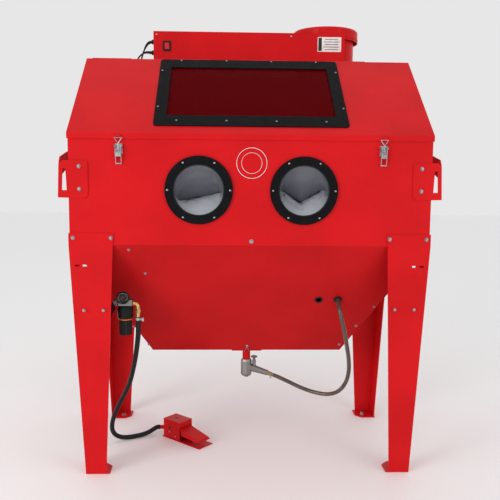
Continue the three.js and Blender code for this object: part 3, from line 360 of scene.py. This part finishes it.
def hex_bolt(piece, place, normal, across=11, head=5):
    """A washer with a chamfered six-sided head on it."""
    radius = across / math.sqrt(3)
    washer = [(across * 0.7, 0), (across * 0.74, 0.5), (across * 0.7, WASHER)]
    piece.lathe(washer, place, normal, 24)
    raised = Vector(place) + Vector(normal).normalized() * WASHER
    piece.lathe([(radius, 0), (radius, head - 1), (radius * 0.86, head)], raised, normal, 6)


def pan_screw(piece, place, normal, radius=3.2):
    """A domed head with a sunk centre for the driver."""
    dome = [(1, 0), (1, 1), (0.85, 2), (0.5, 2.6), (0.3, 2.6), (0.26, 1.6)]
    piece.lathe([(radius * share, height) for share, height in dome], place, normal, 20)


# --- fasteners -----------------------------------------------------------------------------------

LID_FOLD = (-3.3, 1127.0)
LID_ANGLE = math.atan2(281.5, 344)
LID_NORMAL = Vector((0, -math.sin(LID_ANGLE), math.cos(LID_ANGLE)))
LEG_FACE = -3.3
BODY_DEPTH = 650.0
HOPPER_TOP = 774.7
HOPPER_RUN = (300 - 1.5) / (HOPPER_TOP - 355.3)
HOPPER_OUT = Vector((0, -1, -HOPPER_RUN)).normalized()


def on_lid(u, v, w=0.0):
    y = LID_FOLD[0] + v * math.cos(LID_ANGLE) - w * math.sin(LID_ANGLE)
    z = LID_FOLD[1] + v * math.sin(LID_ANGLE) + w * math.cos(LID_ANGLE)
    return Vector((u, y, z))


def on_hopper(x, z, out=0.0):
    return Vector((x, 1.5 + (HOPPER_TOP - z) * HOPPER_RUN, z)) + HOPPER_OUT * out


FRAME_TOP = 3.8
FOOT_BOLT = (498.3, 573.3)
FOOT_TOP = 4.0
RIM_BOLT_Z = 798
HOPPER_BOLTS = [
    (-391, 760), (-346, 674), (-405, 460), (-360, 380), (342, 380), (390, 464), (440, 546),
]


def window_screws():
    piece = Piece("window_screws", "lid", "galvanised")
    places = [(u, v) for u in (-240, -80, 80, 240) for v in (64, 430)]
    places += [(u, v) for u in (-304, 304) for v in (140, 362)]
    for u, v in places:
        pan_screw(piece, on_lid(u, v, FRAME_TOP), LID_NORMAL)
    piece.build()


PORT_X = 167
PORT_Z = 951
PORT_SCREW_CIRCLE = 198
RING_FACE = -7.8


def port_screws():
    for side, name in ((-1, "left"), (1, "right")):
        piece = Piece("port_screws_" + name, "cabinet", "galvanised")
        for k in range(6):
            angle = math.radians(60 * k)
            x = side * PORT_X + math.cos(angle) * PORT_SCREW_CIRCLE / 2
            z = PORT_Z + math.sin(angle) * PORT_SCREW_CIRCLE / 2
            pan_screw(piece, (x, RING_FACE, z), FORWARD)
        piece.build()
        trim = Piece("port_trim_" + name, "cabinet", "rubber_black")
        section = [(78.2, -6.8), (81.7, -6.8), (81.7, -1.7), (78.2, -1.7)]
        trim.lathe(section, (side * PORT_X, 0, PORT_Z), BACK, 72, closed=True)
        trim.build(0.4)


def body_bolts():
    front = Piece("front_bolts", "cabinet", "galvanised")
    hex_bolt(front, (1, 0, 789), FORWARD, 10, 4)
    for side in (-1, 1):
        for z in (952, 1023):
            hex_bolt(front, (side * 541, LEG_FACE, z), FORWARD, 9)
        for x in (445, 564):
            hex_bolt(front, (side * x, LEG_FACE, RIM_BOLT_Z), FORWARD, 9)
    for x, z in ((-534, 565), (-472, 565), (469, 569), (532, 569)):
        hex_bolt(front, (x, LEG_FACE, z), FORWARD, 7, 3)
    front.build()
    back = Piece("back_bolts", "cabinet", "galvanised")
    for side in (-1, 1):
        for x in (445, 564):
            hex_bolt(back, (side * x, BODY_DEPTH - LEG_FACE, RIM_BOLT_Z), BACK)
        hex_bolt(back, (side * FOOT_BOLT[0], FOOT_BOLT[1], FOOT_TOP), UP, 13, 7)
    back.build()


def hopper_bolts():
    piece = Piece("hopper_bolts", "cabinet", "galvanised")
    for x, z in HOPPER_BOLTS:
        hex_bolt(piece, on_hopper(x, z), HOPPER_OUT, 7, 3)
    piece.build()


window_screws()
port_screws()
body_bolts()
hopper_bolts()


# --- hopper outlet -------------------------------------------------------------------------------


def air_grommet():
    """The empty hole's rubber ring, a round lip on each side of the sheet."""
    piece = Piece("air_grommet", "cabinet", "rubber_black")
    profile = [
        (9, -4), (14.5, -4), (14.5, -1.8), (11.6, -1.6), (11.6, 0.1), (14.5, 0.3), (14.5, 2.6), (9, 2.6),
    ]
    piece.lathe(profile, on_hopper(242, 573), HOPPER_OUT, 28, closed=True)
    piece.build(0.5)


def outlet_hardware():
    flange = Piece("outlet_flange", "cabinet", "satin_black")
    collar = [(14.7, 0), (19, 0), (19, 2.4), (14.7, 2.4)]
    flange.lathe(collar, (0, 325, 350.4), UP, 32, closed=True)
    flange.build(0.3)
    clip = Piece("outlet_clip", "cabinet", "galvanised")
    for side in (-1, 1):
        wire = [
            (1 + side, 287, 372), (1 + side * 3, 290, 362), (side * 7, 300, 352), (side * 9, 311, 344),
        ]
        clip.tube(wire, 1.2, 10)
    clip.lathe([(4.4, 0), (4.8, 2), (3.4, 4)], on_hopper(1, 375, 2), HOPPER_OUT, 20)
    clip.build()
    screw = Piece("barb_clamp_screw", "cabinet", "galvanised")
    screw.lathe([(3.4, 0), (3.4, 6), (2.4, 7)], (91, 321, 245.4), (0.3, -0.2, -0.93), 12)
    screw.build()
    wraps = Piece("barb_wraps", "cabinet", "brass")
    root, tip = Vector((78, 325, 258.6)), Vector((101, 325, 250))
    axis = (tip - root).normalized()
    wrap = [(7.4, 0), (9, 0.5), (9, 2.5), (7.4, 3)]
    for step in (3, 8, 13):
        wraps.lathe(wrap, root + axis * step, axis, 24, closed=True)
    wraps.build()


air_grommet()
outlet_hardware()


# --- air regulator -------------------------------------------------------------------------------

REGULATOR = Vector((-411, 60, 0))
GAUGE_BACK = Vector((-414, 36, 594))
GAUGE_OUT = Vector((0, -0.8, 0.6))
TICK_OUTER = 16.4


def gauge_face():
    """A dark dial with a ring of pale ticks, and a clear cover let into the bezel."""
    above = GAUGE_OUT.cross(RIGHT)
    dial = Piece("gauge_dial", "cabinet", "ink", "black_plastic")
    dial.lathe([(18.2, 0), (18.2, 0.3)], GAUGE_BACK + GAUGE_OUT * 12.05, GAUGE_OUT, 36)
    dial.build()
    ticks = Piece("gauge_ticks", "cabinet", "label", "lamp_white")
    for k in range(28):
        angle = math.radians(225 - 10 * k)
        ray = RIGHT * math.cos(angle) + above * math.sin(angle)
        side = GAUGE_OUT.cross(ray)
        inner = 12.6 if k % 3 == 0 else 14.2
        middle = GAUGE_BACK + GAUGE_OUT * 12.4 + ray * (inner + TICK_OUTER) / 2
        half = (TICK_OUTER - inner) / 2
        bar = [(-half, -0.25), (half, -0.25), (half, 0.25), (-half, 0.25)]
        ticks.prism(bar, middle, ray, side, 0.12)
    ticks.build()
    cover = Piece("gauge_cover", "cabinet", "clear_cover", "glass")
    dome = [(18.4, 0), (18.4, 0.7), (12, 1.1), (4, 1.2)]
    cover.lathe(dome, GAUGE_BACK + GAUGE_OUT * 16.2, GAUGE_OUT, 36)
    cover.build()


def regulator_pieces():
    """The cast body, its black bonnet with grip rings, and the brass elbow down to the hose."""
    x, y = REGULATOR.x, REGULATOR.y
    block = Piece("regulator_block", "cabinet", "zinc_cast")
    block.prism(rounded(25, 19, 5), (x, y, 570), RIGHT, BACK, 20)
    block.lathe([(21, 0), (24, 1.5), (24, 3), (20, 4)], (x, y, 590.2), UP, 32)
    block.lathe([(11, 0), (11, 15)], (x - 25.3, y, 579), -RIGHT, 24)
    block.tube([(x - 3, y - 19.3, 588), (x - 3, y - 23, 592)], 6, 20)
    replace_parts(block.build(0.8), "regulator_body")
    bonnet = Piece("regulator_bonnet", "cabinet", "black_plastic")
    profile = [(20, 0), (24, 1)]
    for step in range(4):
        low = 3 + step * 8
        profile += [(26, low), (26, low + 5), (24.4, low + 5.8), (24.4, low + 7.2)]
    bonnet.lathe(profile + [(25, 37), (22, 42)], (x, y, 526.4), UP, 40)
    bonnet.build()
    elbow = Piece("regulator_elbow", "cabinet", "brass", "zinc_cast")
    bend = [(x + 25.3, 576), (-381, 576), (-374, 574), (-370, 568), (-369, 560), (-369, 530)]
    elbow.tube([(across, y, z) for across, z in bend], 7, 24)
    elbow.lathe([(8.2, 0), (9.4, 1), (9.4, 12), (8.2, 13)], (-369, y, 544), UP, 6)
    elbow.build(0.3)


def regulator_details():
    ring = Piece("lock_ring", "cabinet", "orange", "red_plastic")
    section = [(21.4, 0), (23.4, 0.4), (23.4, 2.6), (21.4, 3)]
    ring.lathe(section, REGULATOR + UP * 522.6, UP, 40, closed=True)
    ring.build()
    clamp = Piece("air_hose_clamp", "cabinet", "galvanised")
    centre = Vector((-369, 60, 519.5))
    clamp.lathe([(8.8, 0), (9.5, 0), (9.5, 9), (8.8, 9)], centre, UP, 28, closed=True)
    housing = [(-4, -3), (4, -3), (4, 3), (-4, 3)]
    clamp.prism(housing, centre + Vector((0, -9.4, 4.5)), RIGHT, UP, 4)
    clamp.lathe([(2.6, 0), (2.6, 9), (1.6, 9.6)], centre + Vector((4, -11.5, 4.5)), RIGHT, 12)
    wing = [(-1, -5), (6, -6), (6, 6), (-1, 5)]
    clamp.prism(wing, centre + Vector((14, -12.2, 4.5)), RIGHT, UP, 1.4)
    clamp.build()
    screws = Piece("bracket_screws", "cabinet", "galvanised")
    for z in (548, 576):
        pan_screw(screws, (-478, 12.4, z), FORWARD, 4)
    screws.build()


gauge_face()
regulator_pieces()
regulator_details()


# --- foot pedal ----------------------------------------------------------------------------------

PEDAL = Vector((-233.5, 325.4, 0))
PEDAL_TURN = math.radians(-42)
PEDAL_ALONG = Vector((math.cos(PEDAL_TURN), math.sin(PEDAL_TURN), 0))
PEDAL_ACROSS = Vector((-math.sin(PEDAL_TURN), math.cos(PEDAL_TURN), 0))


def on_pedal(a, b, z):
    return PEDAL + PEDAL_ALONG * a + PEDAL_ACROSS * b + UP * z


def pedal_details():
    cheeks = Piece("treadle_cheeks", "treadle", "powder_red")
    skirt = [(12, 45), (100, 25), (103, 18.5), (99, 18), (12, 23)]
    for b in (-28.2, 29.4):
        cheeks.prism(skirt, on_pedal(0, b, 0), PEDAL_ALONG, UP, 1.2)
    cheeks.build(0.2)
    # Flat black patches where the housing has holes: painted shade for the dark insides of the holes.
    hole_shade = Piece("pedal_holes", "cabinet", "ink", "black_plastic")
    hole_shade.prism(rounded(10, 4.5, 4.4), on_pedal(-40, 0, 72), PEDAL_ALONG, PEDAL_ACROSS, 0.25)
    hole_shade.lathe([(6, 0), (6, 0.25)], on_pedal(-46, -33, 42), -PEDAL_ACROSS, 28)
    hole_shade.build()
    screws = Piece("pedal_screws", "cabinet", "galvanised")
    for a, z in ((-46, 26), (-14, 15)):
        pan_screw(screws, on_pedal(a, -33, z), -PEDAL_ACROSS, 3)
    screws.build()


pedal_details()


# --- dust collector and front panel marks --------------------------------------------------------

PLATE_Z = 1527


def collector_y():
    return (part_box("collector_box")[0].y - FRONT) / MM


def rating_plate():
    """A blank plate with a dark band and plain rules in place of wording."""
    face = collector_y()
    plate = Piece("rating_plate", "cabinet", "label", "lamp_white")
    plate.prism(rounded(48, 29, 3), (338, face, PLATE_Z), RIGHT, UP, 0.6)
    plate.build()
    ink = Piece("rating_rules", "cabinet", "ink", "black_plastic")
    ink.prism(rounded(7, 26, 1), (300, face - 0.6, PLATE_Z), RIGHT, UP, 0.2)
    for row in range(5):
        half = 32 if row % 2 else 27
        place = (346, face - 0.6, PLATE_Z + 20 - row * 10)
        ink.prism(rounded(half, 1.1, 0.4), place, RIGHT, UP, 0.2)
    ink.build()


def collector_details():
    face = collector_y()
    screws = Piece("collector_screws", "cabinet", "galvanised")
    for x in (-360, 182):
        for z in (1416, 1557):
            pan_screw(screws, (x, face, z), FORWARD, 3.6)
    screws.build()
    band = Piece("cap_band", "cap", "powder_red")
    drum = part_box("drum_cap")
    middle = (drum[0] + drum[1]) / 2
    x, y = middle.x / MM, (middle.y - FRONT) / MM
    bead = [(136.2, 0), (137.2, 0.6), (137.2, 7.4), (136.2, 8)]
    band.lathe(bead, (x, y, 1560), UP, 72, closed=True)
    band.build()
    gland = Piece("gland_lamp", "cabinet", "black_plastic")
    nut = [
        (3.6, -6), (9, -6), (9, -1.9), (6.2, -1.9), (6.2, 0.3), (10, 0.3), (10, 8), (7, 13), (3.6, 15),
    ]
    gland.lathe(nut, (-373, 700, 1536), -RIGHT, 24, closed=True)
    gland.build(0.4)


def blank_badge():
    """A plain red disc with two thin pale rings, and nothing written on it."""
    centre = (0, 0, 1037)
    disc = Piece("badge_disc", "cabinet", "powder_red")
    disc.lathe([(50, 0), (50, 0.5), (49.6, 0.8)], centre, FORWARD, 64)
    disc.build()
    rings = Piece("badge_rings", "cabinet", "label", "lamp_white")
    for outer, width in ((48.5, 1.3), (33, 0.9)):
        profile = [(outer - width, 0.9), (outer, 0.9), (outer, 1.1), (outer - width, 1.1)]
        rings.lathe(profile, centre, FORWARD, 64, closed=True)
    rings.build()


rating_plate()
collector_details()
blank_badge()


# --- gloves --------------------------------------------------------------------------------------

SLEEVE = [
    (0, 0, 80.5), (12, 0, 80.5), (60, -2, 79), (110, -8, 76), (165, -24, 71),
    (215, -50, 64), (262, -80, 57), (315, -101, 52), (362, -108, 42),
]
RINGS_PER_SPAN = 9
GLOVE_SIDES = 72
SKIN = 2.4
FOLD_DEPTH = 9.0
SLEEVE_SAG = 0.985
CUFF_END = 12


def slanting_fold(across, reach):
    return -0.3 * reach + 0.22 * across


def vee_fold(across, reach):
    return -0.55 * reach + 0.6 * abs(across)


FOLD_LINES = {"left": slanting_fold, "right": vee_fold}


def sleeve_line():
    """The sleeve's centre and radius at many steps from the cuff to the hand."""
    line = []
    for (y0, z0, r0), (y1, z1, r1) in zip(SLEEVE, SLEEVE[1:]):
        for k in range(RINGS_PER_SPAN):
            t = k / RINGS_PER_SPAN
            line.append((y0 + (y1 - y0) * t, z0 + (z1 - z0) * t, r0 + (r1 - r0) * t))
    return line + [SLEEVE[-1]]


def rise(value, start, length):
    """0 up to start, then straight up to 1 over length."""
    return min(1, max(0, (value - start) / length))


def glove_circle(side, y, z, radius):
    ring = []
    for k in range(GLOVE_SIDES):
        angle = 2 * math.pi * k / GLOVE_SIDES
        ring.append((side * PORT_X + math.cos(angle) * radius, y, PORT_Z + z + math.sin(angle) * radius))
    return ring


def glove(side, name):
    """A sleeve that has fallen nearly shut behind the cuff, with a plain rounded end and no fingers."""
    line = sleeve_line()
    outer, inner = [], []
    for i, (y, z, radius) in enumerate(line):
        before, after = line[max(i - 1, 0)], line[min(i + 1, len(line) - 1)]
        tilt = math.atan2(after[1] - before[1], after[0] - before[0]) if y > CUFF_END else 0
        depth = FOLD_DEPTH * rise(y, CUFF_END, 50)
        closing = SLEEVE_SAG * rise(y, 6, 80) ** 0.9 * (1 - 0.75 * rise(y, 170, 60))
        ring, lining = [], []
        for k in range(GLOVE_SIDES):
            angle = 2 * math.pi * k / GLOVE_SIDES
            seed = Vector((math.cos(angle) * 1.9, math.sin(angle) * 1.9, y / 30 + side * 7))
            swirl = noise.noise(seed)
            crease = abs(noise.noise(seed * 2.1 + Vector((5, 1, 9))))
            ripple = math.sin(y / 8 + 4 * swirl) - 1
            fold = (swirl - 0.5 - 1.3 * crease + 0.2 * ripple) * depth
            for target, reach in ((ring, radius + fold), (lining, radius + fold - SKIN)):
                up = math.sin(angle) * reach
                across = math.cos(angle) * reach
                up += closing * (FOLD_LINES[name](across, reach) - up)
                back, height = y - up * math.sin(tilt), PORT_Z + z + up * math.cos(tilt)
                target.append((side * PORT_X + across, back, height))
        outer.append(ring)
        inner.append(lining)
    end_y, end_z, end_r = line[-1]
    for step in (0.25, 0.5, 0.75, 0.95):
        reach = end_r * math.cos(step * math.pi / 2)
        ahead = 18 * math.sin(step * math.pi / 2)
        outer.append(glove_circle(side, end_y + ahead, end_z, reach))
        inner.append(glove_circle(side, end_y + ahead - SKIN, end_z, max(reach - SKIN, 0.8)))
    cuff = [glove_circle(side, y, 0, radius) for radius, y in ((78.1, -1.5), (100, -1.5), (100, -0.3))]
    piece = Piece("glove_rubber_" + name, "cabinet", "glove_rubber")
    piece.rings(inner[::-1] + cuff + outer)
    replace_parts(piece.build(smooth=80), "glove_" + name)


glove(-1, "left")
glove(1, "right")


# --- cords ---------------------------------------------------------------------------------------

LEAD = 6.5
AIR_HOSE = 17.0
MEDIA_HOSE = 15.0

AIR_ROUTE = [
    (-369, 60, 529.6), (-369, 60, 505), (-370, 64, 475), (-377, 86, 427), (-388, 120, 374),
    (-403, 162, 316), (-421, 204, 258), (-446, 241, 202), (-472, 268, 150), (-491, 286, 105),
    (-500, 296, 72), (-500.5, 302, 46), (-491, 307, 26), (-471, 313, 13.5), (-446, 321, 9.2),
    (-415, 334, 9), (-388, 348, 10.5), (-367, 361, 15.5), (-352, 370, 22), (-340.5, 374.8, 27.2),
    (-328.5, 375.2, 28),
]
MEDIA_ROUTE = [
    (101.7, 325, 249.7), (110, 325, 246.6), (130, 322.5, 238.5), (158, 315, 227), (204, 300, 209),
    (250, 280, 198), (298, 255, 198), (332, 230, 217), (354, 205, 257), (361, 185, 305),
    (356, 165, 354), (346, 147, 402), (334, 127, 450), (323, 112, 490), (314, 105, 522),
    (309.5, 110.5, 545), tuple(on_hopper(308, 575, 24)), tuple(on_hopper(308, 575, 4.4)),
]
GLAND_TIP = -388.4
LEAD_REST = 1403.65
MAINS_ROUTE = [
    (GLAND_TIP, 700, 1493), (-401, 702, 1495), (-417, 704, 1492.5), (-432, 701, 1481),
    (-443, 690, 1462), (-449, 671, 1441), (-452, 648, 1422), (-452, 624, 1409),
    (-450, 606, LEAD_REST), (-448, 592, LEAD_REST), (-444.6, 574, LEAD_REST), (-440.8, 557, LEAD_REST),
]
LAMP_ROUTE = [
    (GLAND_TIP, 700, 1536), (-400, 697, 1529), (-410, 688, 1511), (-417, 674, 1487),
    (-422, 656, 1460), (-424, 638, 1436), (-424, 622, 1421), (-424, 610, 1412.5), (-424, 604, 1404.8),
]


def smooth_path(points, steps=10):
    """Centripetal Catmull-Rom through the points."""
    points = [Vector(p) for p in points]
    points = [points[0] * 2 - points[1], *points, points[-1] * 2 - points[-2]]
    path = []
    for p0, p1, p2, p3 in zip(points, points[1:], points[2:], points[3:]):
        t1 = (p1 - p0).length ** 0.5
        t2 = t1 + (p2 - p1).length ** 0.5
        t3 = t2 + (p3 - p2).length ** 0.5
        for k in range(steps):
            t = t1 + (t2 - t1) * k / steps
            a1 = p0 + (p1 - p0) * (t / t1)
            a2 = p1 + (p2 - p1) * ((t - t1) / (t2 - t1))
            a3 = p2 + (p3 - p2) * ((t - t2) / (t3 - t2))
            b1 = a1 + (a2 - a1) * (t / t2)
            b2 = a2 + (a3 - a2) * ((t - t1) / (t3 - t1))
            path.append(b1 + (b2 - b1) * ((t - t1) / (t2 - t1)))
    return path + [points[-2]]


def cord(name, finish, path, diameter, nodes):
    piece = Piece(name, "cabinet", finish)
    piece.tube(path, diameter / 2, 16)
    obj = piece.build(smooth=80)
    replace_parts(obj, *nodes)


COIL = Vector((-392, 545, 0))
COIL_RADIUS = 36.0
COIL_STEPS = 20
COIL_SLOTS = 3
COIL_PITCH = 6.6
COIL_START = math.atan2(12, -48.8)
COIL_TURNS = 6 + (1.5 * math.pi - COIL_START) / (2 * math.pi)
LEAD_IN_CUT = 14
PLUG_TAIL = [
    (-378, 503.5, 1416.65), (-366, 507.5, 1416.65), (-355, 516, 1416.65),
    (-347, 528, 1416.5), (-340, 538.5, 1415.2), (-330.4, 544.5, 1413.5),
]


def coil_turns():
    """Layers of turns side by side, working inwards, then outwards, then round the rim on top."""
    points = []
    for k in range(int(COIL_TURNS * COIL_STEPS) + 1):
        turn = k / COIL_STEPS
        layer, within = divmod(turn, COIL_SLOTS)
        crossed = min(within, COIL_SLOTS - 1)
        inwards = layer % 2 == 0
        offset = 1 - crossed if inwards else crossed - 1
        if turn > 2 * COIL_SLOTS:
            offset = 1
        climb = max(0, within - (COIL_SLOTS - 1))
        radius = COIL_RADIUS + COIL_PITCH * offset
        angle = COIL_START + 2 * math.pi * turn
        z = LEAD_REST + LEAD * (layer + climb)
        points.append((COIL.x + math.cos(angle) * radius, COIL.y + math.sin(angle) * radius, z))
    return points


def mains_lead():
    lead_in = smooth_path(MAINS_ROUTE)
    coil = smooth_path([lead_in[-LEAD_IN_CUT], *coil_turns()[2:], *PLUG_TAIL], 3)
    path = lead_in[:-LEAD_IN_CUT] + coil[1:]
    cord(
        "mains_cable", "lead_black", path, LEAD,
        ("mains_lead", "mains_coil"),
    )


def strain_reliefs():
    """Ribbed rubber sleeves that taper from the gland onto the lead."""
    for name, route in (("mains", MAINS_ROUTE), ("lamp", LAMP_ROUTE)):
        path = smooth_path(route)[:22]
        piece = Piece("strain_relief_" + name, "cabinet", "rubber_black")
        count = len(path) - 1
        radii = [6.2 - 2.4 * i / count + (0.35 if i % 4 < 2 else 0) for i in range(count + 1)]
        piece.tube(path, radii, 20)
        piece.build(smooth=60)


cord(
    "air_line", "rubber_black", smooth_path(AIR_ROUTE), AIR_HOSE,
    ("air_hose",),
)
cord(
    "media_line", "hose_clear", smooth_path(MEDIA_ROUTE), MEDIA_HOSE,
    ("media_hose",),
)
mains_lead()
cord(
    "lamp_cable", "lead_black", smooth_path(LAMP_ROUTE), LEAD,
    ("lamp_lead",),
)
strain_reliefs()


# --- floor and light -----------------------------------------------------------------------------


FLOOR_GAP = -0.0005


def floor():
    mesh = bpy.data.meshes.new("floor")
    reach = 14
    corners = [(-reach, -reach, 0), (reach, -reach, 0), (reach, reach, 0), (-reach, reach, 0)]
    mesh.from_pydata(corners, [], [[0, 1, 2, 3]])
    obj = bpy.data.objects.new("floor", mesh)
    bpy.context.scene.collection.objects.link(obj)
    paint = Paint("floor", (0.95, 0.95, 0.95), 0.7).vary_roughness(2, 0.65, 0.75)
    mesh.materials.append(paint.material)
    obj.location.z = FLOOR_GAP


def light(name, place, target, size, energy):
    data = bpy.data.lights.new(name, "AREA")
    data.shape = "RECTANGLE"
    data.size = data.size_y = size
    data.energy = energy
    obj = bpy.data.objects.new(name, data)
    obj.location = place
    obj.rotation_euler = (Vector(target) - Vector(place)).to_track_quat("-Z", "Y").to_euler()
    bpy.context.scene.collection.objects.link(obj)


AMBIENT = 0.8


def studio():
    """An even pale surround, a large key from the left and a weak fill from the right."""
    world = bpy.data.worlds.new("studio")
    world.use_nodes = True
    background = world.node_tree.nodes["Background"]
    background.inputs["Color"].default_value = (1, 1, 1, 1)
    background.inputs["Strength"].default_value = AMBIENT
    bpy.context.scene.world = world
    middle = (0, 0, 0.9)
    light("key", (-3.5, -3.6, 1.7), middle, 2.0, 84)
    light("fill", (2.9, -3.4, 1.6), middle, 1.8, 22)
    light("top", (0, 0.6, 3.8), middle, 2.4, 2)
    bpy.context.scene.view_settings.view_transform = "Standard"


floor()
studio()
